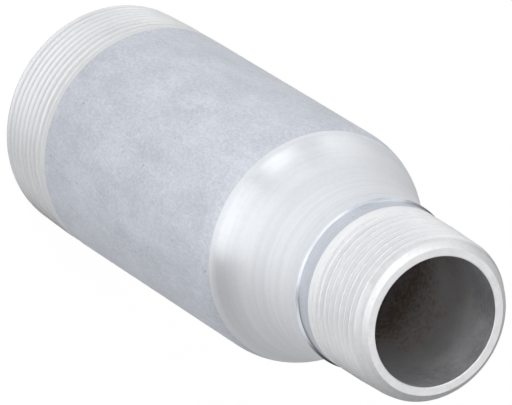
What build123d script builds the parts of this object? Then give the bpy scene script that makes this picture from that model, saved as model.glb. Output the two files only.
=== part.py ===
"""Concentric reducing pipe nipple: one swaged and turned aluminium piece, threaded outside at both ends.

Frame: millimetres, +Z along the axis. The origin is the centre of the large end's face, on which the
nipple stands, and the small end's face is its top.
"""
import math
import os

from build123d import *

# Length over both end faces
overall_length = 165.1

# Pipe at the large end
large_outer_diameter = 60.325
large_wall = 5.54

# Pipe at the small end
small_outer_diameter = 42.164
small_wall = 4.85

# Tapered pipe thread: turns to the inch, height as a share of the pitch, and taper on the diameter
inch = 25.4
turns_per_inch = 11
height_share = 0.8
thread_taper = 1 / 16

# How far the thread's pitch diameter lies under the pipe's, at its end: in pitches, a fixed part in
# inches and a part that grows with the pipe
pitch_inset = 1.1
pitch_inset_share = 0.05

# Chamfers: outside, where each thread starts, and inside, where each bore is deburred
large_lead_chamfer = 0.3
small_lead_chamfer = 2.4
bore_chamfer = 0.2

# Neck behind the small thread: its end below the small face, and the rim where its cut runs out
neck_length = 28.0
rim_run_out = 1.1
rim_height = 0.55

# Shoulder: where its rounding leaves the large pipe, below the small face, and its radius there
shoulder_length = 63.3
shoulder_radius = 15.7


def crest_radius(outer_diameter):
    """Radius of the thread's crests at the end face of a pipe of this outer diameter."""
    inset = (pitch_inset * inch + pitch_inset_share * outer_diameter) / turns_per_inch
    pitch_diameter = outer_diameter - inset
    height = height_share * inch / turns_per_inch
    return (pitch_diameter + height) / 2


# Radii that follow from the pipes and their threads
large_radius = large_outer_diameter / 2
small_radius = small_outer_diameter / 2
large_bore_radius = large_radius - large_wall
small_bore_radius = small_radius - small_wall
large_crest_radius = crest_radius(large_outer_diameter)
small_crest_radius = crest_radius(small_outer_diameter)
rim_radius = small_radius + rim_height
radius_gain = thread_taper / 2

# Heights above the large end's face
neck_foot = overall_length - neck_length
rim_level = neck_foot - rim_run_out
shoulder_foot = overall_length - shoulder_length


def blend(wide_end, narrow_end, wide_radius):
    """Draws two arcs in tangent, up from a wide cylinder's line to a narrow one's.

    The first arc has the given radius. The turn that both make is the one that leaves the second
    arc parallel to the axis where it ends.
    """
    climb = Vector(narrow_end) - Vector(wide_end)
    turn = 2 * math.degrees(math.atan2(-climb.X, climb.Y))
    wide_arc = JernArc(wide_end, (0, 1), wide_radius, turn)
    TangentArc(wide_arc @ 1, narrow_end, tangent=wide_arc % 1)


# The whole nipple is its half section turned about the axis
with BuildPart() as reducing_nipple:
    with BuildSketch(Plane.XZ) as half_section:
        with BuildLine():
            # Large end: face, lead chamfer, tapered thread blank and plain pipe
            large_blank = Polyline(
                (large_bore_radius + bore_chamfer, 0),
                (large_crest_radius - large_lead_chamfer, 0),
                (large_crest_radius + radius_gain * large_lead_chamfer, large_lead_chamfer),
                (large_radius, (large_radius - large_crest_radius) / radius_gain),
                (large_radius, shoulder_foot),
            )

            # Shoulder, down to the rim at its narrow end
            blend(large_blank @ 1, (rim_radius, rim_level), shoulder_radius)

            # Neck, tapered thread blank, lead chamfer and face of the small end, and its bore
            small_bore = Polyline(
                (rim_radius, rim_level),
                (small_radius, neck_foot),
                (small_radius, overall_length - (small_radius - small_crest_radius) / radius_gain),
                (small_crest_radius + radius_gain * small_lead_chamfer, overall_length - small_lead_chamfer),
                (small_crest_radius - small_lead_chamfer, overall_length),
                (small_bore_radius + bore_chamfer, overall_length),
                (small_bore_radius, overall_length - bore_chamfer),
                (small_bore_radius, rim_level),
            )

            # Bore of the large end, and the flare between the two, at one wall from the shoulder
            large_bore_top = (large_bore_radius, shoulder_foot)
            blend(large_bore_top, small_bore @ 1, shoulder_radius - large_wall)
            Polyline(
                large_bore_top,
                (large_bore_radius, bore_chamfer),
                (large_bore_radius + bore_chamfer, 0),
            )
        make_face()
    revolve(axis=Axis.Z)

reducing_nipple.part.label = "reducing_nipple"

os.makedirs("parts", exist_ok=True)
export_step(reducing_nipple.part, "parts/reducing_nipple.step")
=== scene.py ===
"""Looks of a threaded, reducing pipe nipple of aluminium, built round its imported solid."""

import logging
import math
from dataclasses import dataclass, field
from enum import Enum

import bmesh
import bpy
import numpy as np
from mathutils import Matrix, Vector


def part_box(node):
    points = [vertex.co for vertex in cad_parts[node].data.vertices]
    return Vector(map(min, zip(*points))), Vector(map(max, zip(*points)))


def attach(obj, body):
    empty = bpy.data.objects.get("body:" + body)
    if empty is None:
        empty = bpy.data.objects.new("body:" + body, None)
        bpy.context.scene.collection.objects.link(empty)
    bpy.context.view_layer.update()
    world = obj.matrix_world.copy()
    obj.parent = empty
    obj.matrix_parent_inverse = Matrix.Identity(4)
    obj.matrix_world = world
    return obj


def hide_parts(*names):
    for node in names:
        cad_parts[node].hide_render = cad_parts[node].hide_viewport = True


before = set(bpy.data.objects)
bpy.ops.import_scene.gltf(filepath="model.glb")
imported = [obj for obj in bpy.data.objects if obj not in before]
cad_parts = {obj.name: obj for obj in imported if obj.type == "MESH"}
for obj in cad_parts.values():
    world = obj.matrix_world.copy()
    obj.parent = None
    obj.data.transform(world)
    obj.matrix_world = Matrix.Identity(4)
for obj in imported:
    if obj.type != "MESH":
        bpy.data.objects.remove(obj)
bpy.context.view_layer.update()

log = logging.getLogger("nipple")

NODE = "reducing_nipple"
BODY = "root"
MM = 0.001
INCH = 0.0254
NOISE_MEAN = 0.5

Colour = tuple[float, float, float, float]
Point = tuple[float, float]


class Zone(Enum):
    """The zones of the nipple, each with a finish, in the order of its material slots."""

    MILL = 0
    TURNED = 1
    NECK = 2
    SMALL_THREAD = 3
    LARGE_THREAD = 4
    FACE = 5
    CHAMFER = 6
    BORE = 7


class Signal:
    """A node's output that takes part in arithmetic, each step of which adds a Math node."""

    def __init__(self, canvas: "Canvas", socket: bpy.types.NodeSocket) -> None:
        """Wraps an output.

        Args:
            canvas: The material that the output's node is in.
            socket: The output.
        """
        self.canvas = canvas
        self.socket = socket

    def _math(self, operation: str, first: "Signal | float", second: "Signal | float" = 0.0) -> "Signal":
        """Adds a Math node.

        Args:
            operation: What the node does.
            first: The first value.
            second: The second value.

        Returns:
            The node's value.
        """
        return self.canvas.node("ShaderNodeMath", {"operation": operation}, {0: first, 1: second})

    def __add__(self, other: "Signal | float") -> "Signal":
        """Adds."""
        return self._math("ADD", self, other)

    def __radd__(self, other: float) -> "Signal":
        """Adds to a number."""
        return self._math("ADD", other, self)

    def __sub__(self, other: "Signal | float") -> "Signal":
        """Takes away."""
        return self._math("SUBTRACT", self, other)

    def __rsub__(self, other: float) -> "Signal":
        """Takes away from a number."""
        return self._math("SUBTRACT", other, self)

    def __mul__(self, other: "Signal | float") -> "Signal":
        """Multiplies."""
        return self._math("MULTIPLY", self, other)

    def __rmul__(self, other: float) -> "Signal":
        """Multiplies a number."""
        return self._math("MULTIPLY", other, self)

    def swing(self, weight: float) -> "Signal":
        """Gives how far a noise is from its mean, times a weight."""
        return (self - NOISE_MEAN) * weight

    def step(self, low: float, high: float) -> "Signal":
        """Turns a range into a smooth step from 0 to 1.

        Args:
            low: Where the step starts.
            high: Where it ends, which may be under low for a step down.

        Returns:
            The step.
        """
        settings = {"interpolation_type": "SMOOTHSTEP"}
        rising = high > low
        sockets = {
            "Value": self,
            "From Min": min(low, high),
            "From Max": max(low, high),
            "To Min": 0.0 if rising else 1.0,
            "To Max": 1.0 if rising else 0.0,
        }
        return self.canvas.node("ShaderNodeMapRange", settings, sockets)


class Canvas:
    """A material's node tree, and the one method that adds nodes to it."""

    def __init__(self, name: str) -> None:
        """Makes a material with an empty tree.

        Args:
            name: The material's name.
        """
        self.material = bpy.data.materials.new(name)
        self.material.use_nodes = True
        self.tree = self.material.node_tree
        self.tree.nodes.clear()

    def node(
        self,
        kind: str,
        settings: dict[str, object] | None = None,
        sockets: dict[str | int, object] | None = None,
        output: str | int = 0,
    ) -> Signal:
        """Adds a node.

        Args:
            kind: The node's type.
            settings: Its properties, set first. The key stops gives a ramp's places and colours.
            sockets: A value or a signal for each input, by name, identifier or number.
            output: The output to return, by identifier or number.

        Returns:
            The output as a signal.
        """
        made = self.tree.nodes.new(kind)
        for name, value in (settings or {}).items():
            if name == "stops":
                ramp = made.color_ramp
                while len(ramp.elements) < len(value):
                    ramp.elements.new(0.5)
                for element, (place, colour) in zip(ramp.elements, value):
                    element.position = place
                    element.color = colour
            else:
                setattr(made, name, value)
        for key, value in (sockets or {}).items():
            socket = self._find(made.inputs, key)
            if isinstance(value, Signal):
                self.tree.links.new(value.socket, socket)
            else:
                socket.default_value = value
        if not made.outputs:
            return Signal(self, None)
        return Signal(self, self._find(made.outputs, output))

    @staticmethod
    def _find(sockets: bpy.types.bpy_prop_collection, key: str | int) -> bpy.types.NodeSocket:
        """Finds a socket.

        Args:
            sockets: A node's inputs or outputs.
            key: The socket's number, identifier or name.

        Returns:
            The socket.
        """
        if isinstance(key, int):
            return sockets[key]
        for socket in sockets:
            if socket.identifier == key:
                return socket
        return sockets[key]

    def mix(
        self, factor: "Signal | float", first: "Signal | Colour", second: "Signal | Colour"
    ) -> Signal:
        """Mixes two colours.

        Args:
            factor: The share of the second one.
            first: The colour at 0.
            second: The colour at 1.

        Returns:
            The mixed colour.
        """
        sockets = {"Factor_Float": factor, "A_Color": first, "B_Color": second}
        return self.node("ShaderNodeMix", {"data_type": "RGBA"}, sockets, "Result_Color")

    def stretched(self, across: float, along: float) -> Signal:
        """Gives coordinates in metres, stretched round or along the nipple.

        Args:
            across: The scale on X and Y.
            along: The scale on Z, the nipple's axis.

        Returns:
            The coordinates.
        """
        place = self.node("ShaderNodeTexCoord", output="Object")
        return self.node("ShaderNodeMapping", None, {"Vector": place, "Scale": (across, across, along)})

    def radius(self) -> Signal:
        """Gives the distance from the nipple's axis, in metres."""
        flattened = self.stretched(1.0, 0.0)
        return self.node("ShaderNodeVectorMath", {"operation": "LENGTH"}, {0: flattened}, "Value")

    def height(self) -> Signal:
        """Gives the height above the large end's face, in metres."""
        place = self.node("ShaderNodeTexCoord", output="Object")
        return self.node("ShaderNodeSeparateXYZ", None, {0: place}, "Z")

    def noise(self, vector: Signal, scale: float, detail: float = 2.0, roughness: float = 0.5) -> Signal:
        """Adds a noise texture.

        Args:
            vector: Its coordinates.
            scale: Its scale on them.
            detail: Its octaves.
            roughness: The weight of each finer octave.

        Returns:
            The noise, from 0 to 1.
        """
        sockets = {"Vector": vector, "Scale": scale, "Detail": detail, "Roughness": roughness}
        return self.node("ShaderNodeTexNoise", None, sockets)

    def finish(
        self,
        base: "Signal | Colour",
        metallic: float,
        roughness: "Signal | float",
        height: Signal,
        depth: float,
    ) -> bpy.types.Material:
        """Ends the tree in a metal's shader and gives the material.

        Args:
            base: Its colour.
            metallic: How metallic it is.
            roughness: How rough it is.
            height: The height of its relief, from 0 to 1.
            depth: The depth of the relief, in metres.

        Returns:
            The material.
        """
        bump = self.node("ShaderNodeBump", None, {"Strength": 1.0, "Distance": depth, "Height": height})
        sockets = {"Base Color": base, "Metallic": metallic, "Roughness": roughness, "Normal": bump}
        shader = self.node("ShaderNodeBsdfPrincipled", None, sockets)
        self.node("ShaderNodeOutputMaterial", None, {"Surface": shader})
        return self.material


@dataclass(frozen=True)
class MillFinish:
    """Grey skin of drawn pipe: fine grain, faint clouds and a few pits."""

    light: Colour = (0.745, 0.78, 0.85, 1.0)
    dark: Colour = (0.53, 0.56, 0.62, 1.0)
    pit: Colour = (0.34, 0.32, 0.31, 1.0)
    metallic: float = 0.6
    roughness: float = 0.42
    roughness_swing: float = 0.25
    cloud_scale: float = 120.0
    cloud_stretch: float = 0.5
    cloud_swing: float = 0.95
    grain_scale: float = 1500.0
    grain_stretch: float = 0.6
    grain_swing: float = 1.05
    pit_scale: float = 420.0
    pit_edge: tuple[float, float] = (0.72, 0.78)
    pit_share: float = 0.5
    relief_depth: float = 0.05 * MM

    def material(self) -> bpy.types.Material:
        """Builds the material."""
        canvas = Canvas("mill_skin")
        place = canvas.stretched(1.0, 1.0)
        streaks = canvas.stretched(1.0, self.cloud_stretch)
        cloud = canvas.noise(streaks, self.cloud_scale, detail=6.0, roughness=0.72)
        grain_place = canvas.stretched(1.0, self.grain_stretch)
        grain = canvas.noise(grain_place, self.grain_scale, detail=3.0, roughness=0.7)
        fleck = canvas.noise(place, self.pit_scale)
        shade = cloud.swing(self.cloud_swing) + grain.swing(self.grain_swing) + NOISE_MEAN
        base = canvas.mix(shade.step(0.1, 0.9), self.dark, self.light)
        pits = fleck.step(*self.pit_edge) * self.pit_share
        base = canvas.mix(pits, base, self.pit)
        rough = self.roughness + grain.swing(self.roughness_swing)
        relief = grain * 0.6 + cloud * 0.4 - pits
        return canvas.finish(base, self.metallic, rough, relief, self.relief_depth)


@dataclass(frozen=True)
class TurnedFinish:
    """Bright turned metal, with the fine rings that the tool leaves along a side or across a face."""

    name: str
    light: Colour = (0.84, 0.86, 0.89, 1.0)
    dark: Colour = (0.74, 0.765, 0.805, 1.0)
    metallic: float = 0.7
    roughness: float = 0.34
    roughness_swing: float = 0.12
    ring_depth: float = 0.006 * MM
    ring_scale: float = 2600.0
    ring_waver: float = 8.0
    band_scale: float = 700.0
    band_waver: float = 20.0
    band_swing: float = 0.8
    mottle_scale: float = 350.0
    spot_scale: float = 900.0
    spot_swing: float = 0.4
    faced: bool = False

    def material(self) -> bpy.types.Material:
        """Builds the material."""
        canvas = Canvas(self.name)
        place = canvas.stretched(1.0, 1.0)
        if self.faced:
            rings = canvas.noise(canvas.radius() * self.ring_scale, 1.0, roughness=0.6)
            bands = canvas.noise(place, self.mottle_scale, detail=3.0, roughness=0.6)
        else:
            rings = canvas.noise(canvas.stretched(self.ring_waver, self.ring_scale), 1.0, roughness=0.6)
            bands = canvas.noise(canvas.stretched(self.band_waver, self.band_scale), 1.0)
        spots = canvas.noise(place, self.spot_scale, roughness=0.6)
        shade = bands.swing(self.band_swing) + spots.swing(self.spot_swing) + NOISE_MEAN
        rough = self.roughness + spots.swing(self.roughness_swing)
        relief = rings * 0.7 + bands * 0.3
        return canvas.finish(self.colour(canvas, shade), self.metallic, rough, relief, self.ring_depth)

    def colour(self, canvas: Canvas, shade: Signal) -> Signal:
        """Gives the metal's colour.

        Args:
            canvas: The material.
            shade: How light it is, from 0 to 1.

        Returns:
            The colour.
        """
        return canvas.mix(shade.step(0.15, 0.85), self.dark, self.light)


@dataclass(frozen=True)
class ThreadFinish(TurnedFinish):
    """Turned metal of a thread, with painted shade that darkens it towards the roots, which lie under the
    cone of its crests.
    """

    metallic: float = 0.7
    roughness: float = 0.44
    ring_depth: float = 0.0005 * MM
    # The root colour is painted shade, darker deep in the grooves under the crests.
    root: Colour = (0.42, 0.43, 0.45, 1.0)
    root_shade_share: float = 0.8
    cone_radius: float = 0.0
    cone_slope: float = 0.0
    unshaded_depth: float = 0.25 * MM
    full_shade_depth: float = 1.3 * MM

    def colour(self, canvas: Canvas, shade: Signal) -> Signal:
        """Gives the metal's colour, with painted shade that darkens it the deeper it lies under the cone.

        Args:
            canvas: The material.
            shade: How light it is, from 0 to 1.

        Returns:
            The colour.
        """
        # Painted shade: the colour darkens towards the grey root colour the deeper the surface lies under
        # the crests' cone.
        sunk = canvas.height() * self.cone_slope + self.cone_radius - canvas.radius()
        painted_root_shade = sunk.step(self.unshaded_depth, self.full_shade_depth) * self.root_shade_share
        return canvas.mix(painted_root_shade, super().colour(canvas, shade), self.root)


@dataclass(frozen=True)
class BoreFinish:
    """Dull inside of drawn pipe, dark at its mouth, with painted light that makes it paler further in,
    and a brownish bloom there.
    """

    dark: Colour = (0.22, 0.22, 0.23, 1.0)
    light: Colour = (0.38, 0.38, 0.395, 1.0)
    # This pale colour further down the bore is painted light.
    painted_light_pale: Colour = (0.92, 0.92, 0.94, 1.0)
    bloom: Colour = (0.66, 0.50, 0.38, 1.0)
    deep_top: float = 158.0 * MM
    deep_full: float = 122.0 * MM
    metallic: float = 0.2
    roughness: float = 0.6
    roughness_swing: float = 0.2
    cloud_scale: float = 60.0
    cloud_swing: float = 1.4
    grain_scale: float = 900.0
    grain_swing: float = 0.8
    bloom_scale: float = 45.0
    bloom_swing: float = 1.2
    bloom_grain: float = 1.5
    relief_depth: float = 0.04 * MM

    def material(self) -> bpy.types.Material:
        """Builds the material."""
        canvas = Canvas("dull_bore")
        place = canvas.stretched(1.0, 1.0)
        cloud = canvas.noise(place, self.cloud_scale, detail=3.0, roughness=0.6)
        grain = canvas.noise(place, self.grain_scale, detail=3.0, roughness=0.7)
        patch = canvas.noise(place, self.bloom_scale, detail=3.0, roughness=0.6)
        shade = cloud.swing(self.cloud_swing) + grain.swing(self.grain_swing) + NOISE_MEAN
        mouth = canvas.mix(shade.step(0.15, 0.85), self.dark, self.light)
        stain = patch.swing(self.bloom_swing) + grain.swing(self.bloom_grain) + NOISE_MEAN
        inside = canvas.mix(stain.step(0.35, 0.8), self.painted_light_pale, self.bloom)
        # Painted light: the wall turns from the dark mouth colour to the pale colour further down the
        # bore.
        painted_light_share = canvas.height().step(self.deep_top, self.deep_full)
        rough = self.roughness + grain.swing(self.roughness_swing)
        base = canvas.mix(painted_light_share, mouth, inside)
        return canvas.finish(base, self.metallic, rough, grain, self.relief_depth)


@dataclass(frozen=True)
class ThreadForm:
    """The tapered pipe thread's form: turns to the inch, height, flank angle, crest flat and taper."""

    turns_per_inch: float = 11.0
    height_share: float = 0.8
    flank_angle: float = math.radians(30.0)
    crest_share: float = 0.15
    taper: float = 1 / 16
    inset: float = 1.1
    inset_share: float = 0.05

    @property
    def pitch(self) -> float:
        """Distance from one turn to the next."""
        return INCH / self.turns_per_inch

    @property
    def depth(self) -> float:
        """Depth of a full groove between the flat crests."""
        return (1 - self.crest_share) / 2 * self.pitch / math.tan(self.flank_angle)

    def crest_radius(self, outer_diameter: float) -> float:
        """Gives the radius of the crests at the pipe's end face.

        Args:
            outer_diameter: The pipe's outer diameter.

        Returns:
            The radius.
        """
        inset = (self.inset * INCH + self.inset_share * outer_diameter) / self.turns_per_inch
        return (outer_diameter - inset + self.height_share * self.pitch) / 2


@dataclass
class ThreadedEnd:
    """One threaded end of the nipple, measured inwards from its face."""

    form: ThreadForm
    pipe_radius: float
    wall: float
    thread_length: float
    blank_length: float
    helix_sign: float
    start_angle: float
    lead_chamfer: float
    skim_depth: float = 0.0
    run_out: float = 6.0 * MM
    bore_chamfer: float = 0.2 * MM
    spare_turns: int = 2
    halvings: int = 40

    @property
    def bore_radius(self) -> float:
        """Radius of the bore."""
        return self.pipe_radius - self.wall

    @property
    def crest_radius(self) -> float:
        """Radius of the crests at the face."""
        return self.form.crest_radius(2 * self.pipe_radius)

    @property
    def full_length(self) -> float:
        """Length that the groove keeps its depth for, in whole turns."""
        return round((self.thread_length - self.run_out) / self.form.pitch) * self.form.pitch

    def first_groove(self, angle: np.ndarray) -> np.ndarray:
        """Gives where the groove lies at the face, as distances from it at angles round the axis."""
        return self.form.pitch * (self.helix_sign * angle - self.start_angle) / math.tau

    def blank(self, depth: np.ndarray) -> np.ndarray:
        """Gives the radius of the blank that the thread is cut in.

        Args:
            depth: Distances from the face.

        Returns:
            The radii.
        """
        cone = self.crest_radius + depth * self.form.taper / 2
        lead = self.crest_radius - self.lead_chamfer + depth * (1 + self.form.taper / 2)
        return np.minimum(np.minimum(cone, lead), self.pipe_radius - self.skim_depth)

    def groove(self, depth: np.ndarray, centre: np.ndarray) -> np.ndarray:
        """Gives the radius of the groove with its bottom at a centre.

        Args:
            depth: Distances from the face.
            centre: Distance of the groove's middle from the face.

        Returns:
            The radii of the groove's bottom and flanks.
        """
        root = self.crest_radius - self.form.depth + centre * self.form.taper / 2
        fading = np.maximum(centre - self.full_length, 0) / (self.thread_length - self.full_length)
        flank = np.abs(depth - centre) / math.tan(self.form.flank_angle)
        return root + self.form.depth * fading + flank

    def radius(self, depth: np.ndarray, angle: np.ndarray) -> np.ndarray:
        """Gives the radius of the threaded surface.

        Args:
            depth: Distances from the face.
            angle: Angles round the axis.

        Returns:
            The radii.
        """
        pitch = self.form.pitch
        first = self.first_groove(angle)
        centre = first + pitch * np.round((depth - first) / pitch)
        return np.minimum(self.blank(depth), self.groove(depth, centre))

    def lip(self, centre: np.ndarray, side: float) -> np.ndarray:
        """Finds where a flank meets the blank.

        Args:
            centre: Distances of the grooves' middles from the face.
            side: 1 for the flank away from the face, -1 for the one towards it.

        Returns:
            Distances of the lips from the face.
        """
        near = np.zeros_like(centre)
        far = np.full_like(centre, self.form.pitch / 2)
        for _ in range(self.halvings):
            middle = (near + far) / 2
            depth = centre + side * middle
            inside = self.groove(depth, centre) < self.blank(depth)
            near = np.where(inside, middle, near)
            far = np.where(inside, far, middle)
        return centre + side * near

    def rows(self, angles: np.ndarray) -> tuple[np.ndarray, np.ndarray]:
        """Gives the mesh's rows, from the face inwards, so that an edge runs along every lip and root.

        Args:
            angles: The mesh's angles round the axis.

        Returns:
            Distances from the face and radii, a row for each edge and a column for each angle.
        """
        pitch = self.form.pitch
        turns = np.arange(-self.spare_turns, math.ceil(self.blank_length / pitch) + self.spare_turns)
        centres = turns[:, None] * pitch + self.first_groove(angles)[None, :]
        ring = np.ones_like(angles)[None, :]
        edges = [
            self.lip(centres, -1.0),
            centres,
            self.lip(centres, 1.0),
            0.0 * ring,
            self.lead_chamfer * ring,
            self.blank_length * ring,
        ]
        depth = np.clip(np.concatenate(edges), 0.0, self.blank_length)
        depth.sort(axis=0)
        return depth, self.radius(depth, angles[None, :])


@dataclass
class ReducingNipple:
    """The nipple: large pipe, shoulder, rim, neck and small pipe, threaded at both ends, in one mesh."""

    length: float
    large_radius: float
    form: ThreadForm = field(default_factory=ThreadForm)
    large_wall: float = 5.54 * MM
    small_radius: float = 21.082 * MM
    small_wall: float = 4.85 * MM
    neck_length: float = 28.7 * MM
    rim_run_out: float = 0.4 * MM
    rim_height: float = 0.55 * MM
    shoulder_length: float = 63.3 * MM
    shoulder_radius: float = 15.7 * MM
    skin_cut: float = 58.2 * MM
    columns: int = 288
    pipe_steps: int = 8
    shoulder_steps: int = 28
    flare_steps: int = 16
    bore_steps: int = 4
    merge_distance: float = 0.0005 * MM
    sharp_angle: float = math.radians(24.0)
    stations: list[tuple[Zone, np.ndarray, np.ndarray]] = field(default_factory=list)

    def ends(self) -> tuple[ThreadedEnd, ThreadedEnd]:
        """Gives the large and the small threaded end."""
        large = ThreadedEnd(
            form=self.form,
            pipe_radius=self.large_radius,
            wall=self.large_wall,
            thread_length=22.0 * MM,
            blank_length=22.3 * MM,
            helix_sign=1.0,
            start_angle=math.radians(3.0),
            lead_chamfer=0.3 * MM,
            skim_depth=0.1 * MM,
        )
        small = ThreadedEnd(
            form=self.form,
            pipe_radius=self.small_radius,
            wall=self.small_wall,
            thread_length=23.5 * MM,
            blank_length=24.0 * MM,
            helix_sign=-1.0,
            start_angle=math.radians(230.0),
            lead_chamfer=2.4 * MM,
        )
        return large, small

    def blend(self, wide: Point, narrow: Point, wide_radius: float, steps: int) -> list[Point]:
        """Gives points on two arcs in tangent, from a wide cylinder's line up to a narrow one's.

        Args:
            wide: Radius and height where the wide cylinder ends.
            narrow: Radius and height where the narrow one starts.
            wide_radius: Radius of the arc at the wide cylinder.
            steps: Steps on each arc.

        Returns:
            The points' radii and heights, both ends included.
        """
        rise = narrow[1] - wide[1]
        drop = wide[0] - narrow[0]
        turn = 2 * math.atan2(drop, rise)
        narrow_radius = (rise * rise + drop * drop) / (2 * drop) - wide_radius
        points = []
        for step in range(steps + 1):
            angle = turn * step / steps
            in_by, up_by = wide_radius * (1 - math.cos(angle)), wide_radius * math.sin(angle)
            points.append((wide[0] - in_by, wide[1] + up_by))
        for step in range(steps - 1, -1, -1):
            angle = turn * step / steps
            out_by, down_by = narrow_radius * (1 - math.cos(angle)), narrow_radius * math.sin(angle)
            points.append((narrow[0] + out_by, narrow[1] - down_by))
        return points

    def ring(self, zone: Zone, radius: float, height: float) -> None:
        """Adds a round station.

        Args:
            zone: The finish from this station to the next.
            radius: Its radius.
            height: Its height.
        """
        flat = np.ones(self.columns + 1)
        self.stations.append((zone, radius * flat, height * flat))

    def lay_out(self) -> None:
        """Lists the stations of the section, up the outside and down the bore."""
        large, small = self.ends()
        angles = np.linspace(0, math.tau, self.columns + 1)
        rim_level = self.length - self.neck_length - self.rim_run_out
        foot = self.length - self.shoulder_length
        cut = self.length - self.skin_cut
        rim_radius = self.small_radius + self.rim_height

        self.ring(Zone.FACE, large.bore_radius + large.bore_chamfer, 0.0)
        depth, radius = large.rows(angles)
        for row_depth, row_radius in zip(depth, radius):
            self.stations.append((Zone.LARGE_THREAD, row_radius, row_depth))
        for height in np.linspace(large.blank_length, foot, self.pipe_steps + 1)[:-1]:
            self.ring(Zone.MILL, self.large_radius, height)
        wide, rim = (self.large_radius, foot), (rim_radius, rim_level)
        for point_radius, height in self.blend(wide, rim, self.shoulder_radius, self.shoulder_steps):
            self.ring(Zone.TURNED if height > cut else Zone.MILL, point_radius, height)
        self.stations[-1] = (Zone.NECK, *self.stations[-1][1:])
        self.ring(Zone.NECK, self.small_radius, self.length - self.neck_length)
        depth, radius = small.rows(angles)
        for row_depth, row_radius in zip(depth[::-1], radius[::-1]):
            self.stations.append((Zone.SMALL_THREAD, row_radius, self.length - row_depth))
        self.stations[-1] = (Zone.FACE, *self.stations[-1][1:])
        self.ring(Zone.FACE, small.bore_radius + small.bore_chamfer, self.length)
        self.ring(Zone.BORE, small.bore_radius, self.length - small.bore_chamfer)
        wide, narrow = (large.bore_radius, foot), (small.bore_radius, rim_level)
        flare = self.blend(wide, narrow, self.shoulder_radius - self.large_wall, self.flare_steps)
        for point_radius, height in reversed(flare):
            self.ring(Zone.BORE, point_radius, height)
        for height in np.linspace(foot, large.bore_chamfer, self.bore_steps + 1)[1:-1]:
            self.ring(Zone.BORE, large.bore_radius, height)
        self.ring(Zone.FACE, large.bore_radius, large.bore_chamfer)

    def slots(self, heights: np.ndarray) -> np.ndarray:
        """Gives the material slot of each face of the mesh.

        Args:
            heights: Heights of the stations' points, a row for each station.

        Returns:
            The slots, in which the thread's lead chamfer at the small end has its own.
        """
        zones = np.array([station[0].value for station in self.stations], dtype=np.int32)[:, None]
        middles = (heights + np.roll(heights, -1, axis=0))[:, :-1] / 2
        lead = self.length - self.ends()[1].lead_chamfer
        chamfered = (zones == Zone.SMALL_THREAD.value) & (middles > lead)
        return np.where(chamfered, np.int32(Zone.CHAMFER.value), zones).ravel()

    def mesh(self) -> bpy.types.Mesh:
        """Joins the stations into one closed mesh, whose seam and run-outs are merged."""
        angles = np.linspace(0, math.tau, self.columns + 1)
        radii = np.array([station[1] for station in self.stations])
        heights = np.array([station[2] for station in self.stations])
        points = np.stack([radii * np.cos(angles), radii * np.sin(angles), heights], axis=-1)
        rows, columns = radii.shape
        low = np.arange(rows)[:, None] * columns + np.arange(columns - 1)[None, :]
        high = (np.arange(rows)[:, None] + 1) % rows * columns + np.arange(columns - 1)[None, :]
        quads = np.stack([low, low + 1, high + 1, high], axis=-1).reshape(-1, 4)
        mesh = bpy.data.meshes.new("nipple")
        mesh.from_pydata(points.reshape(-1, 3).tolist(), [], quads.tolist())
        mesh.polygons.foreach_set("material_index", self.slots(heights))
        made = bmesh.new()
        made.from_mesh(mesh)
        bmesh.ops.remove_doubles(made, verts=made.verts, dist=self.merge_distance)
        bmesh.ops.dissolve_degenerate(made, edges=made.edges, dist=self.merge_distance)
        bmesh.ops.recalc_face_normals(made, faces=made.faces)
        made.to_mesh(mesh)
        open_edges = sum(1 for edge in made.edges if len(edge.link_faces) != 2)
        made.free()
        mesh.shade_smooth()
        mesh.set_sharp_from_angle(angle=self.sharp_angle)
        log.info("nipple mesh: %d faces, %d open edges", len(mesh.polygons), open_edges)
        return mesh

    def finishes(self) -> dict[Zone, bpy.types.Material]:
        """Builds the material of each zone."""
        large, small = self.ends()
        slope = self.form.taper / 2
        # The neck's colours are darker than the shoulder's turned metal: painted shade on the same metal.
        neck = TurnedFinish(
            "turned_neck_painted_shade",
            light=(0.72, 0.755, 0.82, 1.0),
            dark=(0.60, 0.635, 0.70, 1.0),
            metallic=0.95,
            roughness=0.3,
        )
        # The small thread's paler colours and the large thread's darker ones are painted light and
        # painted shade on one and the same cut metal.
        lit_small_thread = ThreadFinish(
            "lit_small_thread",
            light=(0.96, 0.97, 0.985, 1.0),
            dark=(0.88, 0.89, 0.91, 1.0),
            root_shade_share=0.55,
            cone_radius=small.crest_radius + self.length * slope,
            cone_slope=-slope,
        )
        shaded_large_thread = ThreadFinish(
            "shaded_large_thread",
            light=(0.84, 0.85, 0.865, 1.0),
            dark=(0.76, 0.77, 0.785, 1.0),
            cone_radius=large.crest_radius,
            cone_slope=slope,
        )
        end_face = TurnedFinish(
            "end_face",
            light=(0.97, 0.975, 0.985, 1.0),
            dark=(0.82, 0.825, 0.84, 1.0),
            metallic=0.3,
            roughness=0.5,
            ring_depth=0.01 * MM,
            faced=True,
        )
        lead_chamfer = TurnedFinish(
            "lead_chamfer",
            light=(0.87, 0.875, 0.885, 1.0),
            dark=(0.70, 0.705, 0.72, 1.0),
            metallic=0.3,
            roughness=0.5,
        )
        return {
            Zone.MILL: MillFinish().material(),
            Zone.TURNED: TurnedFinish("turned_shoulder").material(),
            Zone.NECK: neck.material(),
            Zone.SMALL_THREAD: lit_small_thread.material(),
            Zone.LARGE_THREAD: shaded_large_thread.material(),
            Zone.FACE: end_face.material(),
            Zone.CHAMFER: lead_chamfer.material(),
            Zone.BORE: BoreFinish().material(),
        }

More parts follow.
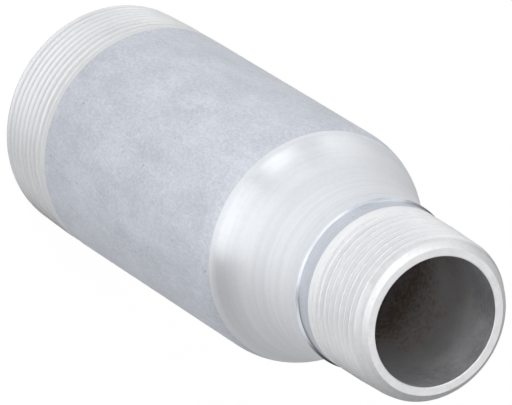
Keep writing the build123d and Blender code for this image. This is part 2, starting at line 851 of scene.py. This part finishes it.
    def build(self) -> bpy.types.Object:
        """Makes the nipple and gives it its finishes."""
        self.lay_out()
        piece = bpy.data.objects.new("threaded_nipple", self.mesh())
        bpy.context.scene.collection.objects.link(piece)
        finishes = self.finishes()
        for zone in Zone:
            piece.data.materials.append(finishes[zone])
        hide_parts(NODE)
        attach(piece, BODY)
        return piece


class LampKind(Enum):
    """The kinds of lamp, by their distance from the nipple and the length of their sides, in metres."""

    SOFTBOX = (1.4, 0.8)
    PANEL = (0.45, 0.25)


@dataclass(frozen=True)
class Lamp:
    """A square lamp, by its place round and over the nipple, in degrees, and its power in watts."""

    name: str
    kind: LampKind
    azimuth: float
    elevation: float
    power: float


@dataclass(frozen=True)
class Studio:
    """A pale floor and soft white light round the nipple."""

    floor_radius: float = 8.0
    floor_sides: int = 64
    floor_drop: float = 0.0002
    paper: Colour = (0.90, 0.90, 0.90, 1.0)
    white: Colour = (1.0, 1.0, 1.0, 1.0)
    camera_share: float = 0.9
    metal_share: float = 0.053
    glow: float = 1.05
    world_strength: float = 0.01
    lamp_target: float = 0.08
    lamps: tuple[Lamp, ...] = (
        Lamp("front_left_softbox", LampKind.SOFTBOX, 315.0, 15.0, 4.61),
        Lamp("left_softbox", LampKind.SOFTBOX, 270.0, 40.0, 1.1),
        Lamp("back_left_softbox", LampKind.SOFTBOX, 240.0, 40.0, 2.3),
        Lamp("right_softbox", LampKind.SOFTBOX, 90.0, 40.0, 2.4),
        Lamp("high_back_softbox", LampKind.SOFTBOX, 180.0, 60.0, 4.0),
        Lamp("front_panel", LampKind.PANEL, 0.0, 40.0, 0.249),
        Lamp("front_right_panel", LampKind.PANEL, 30.0, 40.0, 0.381),
        Lamp("front_left_panel", LampKind.PANEL, 330.0, 40.0, 0.307),
        Lamp("left_panel", LampKind.PANEL, 300.0, 40.0, 0.115),
        Lamp("low_front_panel", LampKind.PANEL, 0.0, 10.0, 0.223),
        Lamp("low_front_right_panel", LampKind.PANEL, 30.0, 10.0, 0.257),
        Lamp("low_front_left_panel", LampKind.PANEL, 330.0, 10.0, 0.04),
        Lamp("low_left_panel", LampKind.PANEL, 270.0, 10.0, 0.315),
    )

    def floor(self) -> bpy.types.Object:
        """Lays the floor, which the camera and the metal see nearly white, with the nipple's shadow."""
        mesh = bpy.data.meshes.new("floor")
        made = bmesh.new()
        bmesh.ops.create_circle(made, cap_ends=True, segments=self.floor_sides, radius=self.floor_radius)
        made.to_mesh(mesh)
        made.free()
        floor = bpy.data.objects.new("floor", mesh)
        floor.location.z = -self.floor_drop
        bpy.context.scene.collection.objects.link(floor)
        canvas = Canvas("pale_floor")
        rays = canvas.node("ShaderNodeLightPath", output="Is Camera Ray")
        glossy = canvas.node("ShaderNodeLightPath", output="Is Glossy Ray")
        through = canvas.node("ShaderNodeLightPath", output="Is Transmission Ray")
        seen = rays * self.camera_share + (glossy + through) * self.metal_share
        paper = canvas.node("ShaderNodeBsdfDiffuse", None, {"Color": self.paper})
        glow = canvas.node("ShaderNodeEmission", None, {"Color": self.white, "Strength": self.glow})
        mixed = canvas.node("ShaderNodeMixShader", None, {0: seen, 1: paper, 2: glow})
        canvas.node("ShaderNodeOutputMaterial", None, {"Surface": mixed})
        mesh.materials.append(canvas.material)
        return floor

    def world(self) -> None:
        """Surrounds the scene with soft white light."""
        world = bpy.data.worlds.new("studio")
        bpy.context.scene.world = world
        world.use_nodes = True
        background = world.node_tree.nodes["Background"]
        background.inputs["Color"].default_value = self.white
        background.inputs["Strength"].default_value = self.world_strength

    def hang(self, lamp: Lamp) -> None:
        """Hangs a lamp that faces the nipple.

        Args:
            lamp: The lamp.
        """
        distance, side = lamp.kind.value
        turn, rise = math.radians(lamp.azimuth), math.radians(lamp.elevation)
        target = Vector((0.0, 0.0, self.lamp_target))
        out = Vector((math.sin(turn) * math.cos(rise), -math.cos(turn) * math.cos(rise), math.sin(rise)))
        light = bpy.data.lights.new(lamp.name, "AREA")
        light.size = side
        light.energy = lamp.power
        hung = bpy.data.objects.new(lamp.name, light)
        hung.location = target + out * distance
        hung.rotation_euler = (-out).to_track_quat("-Z", "Y").to_euler()
        bpy.context.scene.collection.objects.link(hung)

    def build(self) -> None:
        """Sets up the floor, the world and the lamps."""
        self.floor()
        self.world()
        for lamp in self.lamps:
            self.hang(lamp)


@dataclass(frozen=True)
class PhotoCamera:
    """A long lens that looks down on the small end, rolled as in the photograph."""

    focal_pixels: float = 8256.0
    image_width: int = 512
    sensor_width: float = 36.0
    axis_in_view: tuple[float, float, float] = (0.47637, 0.29861, -0.82699)
    small_face_in_view: tuple[float, float, float] = (42.2115 * MM, 28.1126 * MM, 1938.769 * MM)

    def build(self, length: float) -> bpy.types.Object:
        """Places the camera from where it sees the nipple's axis and small end.

        Args:
            length: The nipple's length.

        Returns:
            The camera.
        """
        up = Vector(self.axis_in_view).normalized()
        face = Vector(self.small_face_in_view)
        towards = -face.normalized()
        front = (towards - towards.dot(up) * up).normalized()
        side = (-front).cross(up)
        to_object = Matrix((side, -front, up))
        eye = Vector((0.0, 0.0, length)) - to_object @ face
        right = to_object @ Vector((1.0, 0.0, 0.0))
        down = to_object @ Vector((0.0, 1.0, 0.0))
        ahead = to_object @ Vector((0.0, 0.0, 1.0))
        data = bpy.data.cameras.new("photo_camera")
        data.sensor_width = self.sensor_width
        data.lens = self.focal_pixels / self.image_width * self.sensor_width
        data.clip_end = 100.0
        camera = bpy.data.objects.new("photo_camera", data)
        turned = Matrix((right, -down, -ahead)).transposed()
        camera.matrix_world = Matrix.Translation(eye) @ turned.to_4x4()
        bpy.context.scene.collection.objects.link(camera)
        bpy.context.scene.camera = camera
        log.info("camera at %s", tuple(round(value, 4) for value in eye))
        return camera


def main() -> None:
    """Builds the nipple, the studio and the camera."""
    logging.basicConfig(level=logging.INFO, format="%(message)s")
    low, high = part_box(NODE)
    nipple = ReducingNipple(length=high.z - low.z, large_radius=(high.x - low.x) / 2)
    piece = nipple.build()
    log.info("built %s", piece.name)
    Studio().build()
    PhotoCamera().build(nipple.length)
    bpy.context.scene.view_settings.view_transform = "Standard"


if __name__ == "__main__":
    main()
